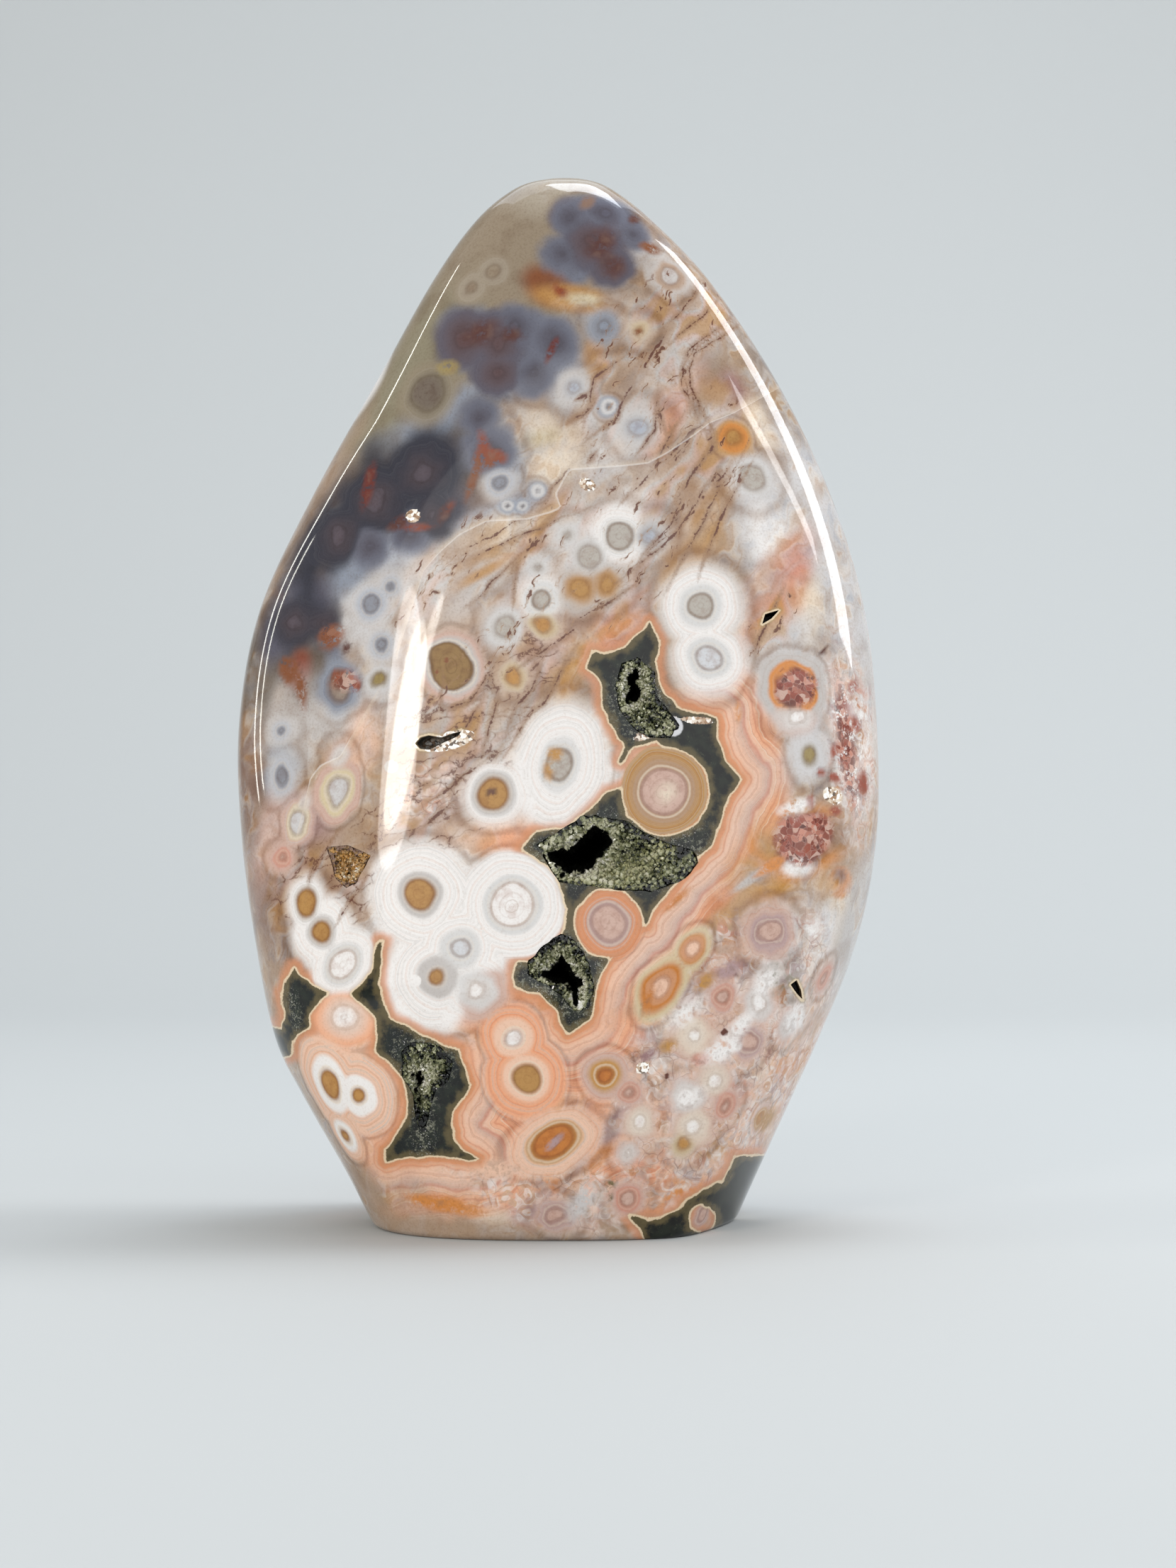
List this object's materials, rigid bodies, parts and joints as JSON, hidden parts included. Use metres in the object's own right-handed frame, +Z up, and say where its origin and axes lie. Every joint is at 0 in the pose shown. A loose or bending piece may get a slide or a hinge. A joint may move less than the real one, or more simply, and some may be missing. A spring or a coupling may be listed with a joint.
{
  "type": "polished ocean jasper freeform",
  "caption": "Upright polished freeform of pink orbicular jasper with a flat cut base and open pockets lined with small quartz crystals.",
  "frame": {"origin": "middle of the object's box, on the surface that it stands on", "axes": "+Z up from the cut base to the tip, -Y out of the broad face with the pockets, +X to the right of that face"},
  "size_m": [0.0901, 0.0468, 0.1469],
  "materials": {
    "polished_jasper": "high polish, orbicular pattern of salmon, white, ochre, lilac grey and dark green",
    "green_quartz": "glittering crust of small quartz crystals",
    "golden_quartz": "glittering crust of small golden brown quartz crystals"
  },
  "bodies": {
    "root": {"stone": "polished_jasper", "crystals_upper": "green_quartz", "crystals_middle": "green_quartz", "crystals_lower": "green_quartz", "crystals_foot": "green_quartz", "crystals_golden": "golden_quartz"}
  },
  "joints": []
}
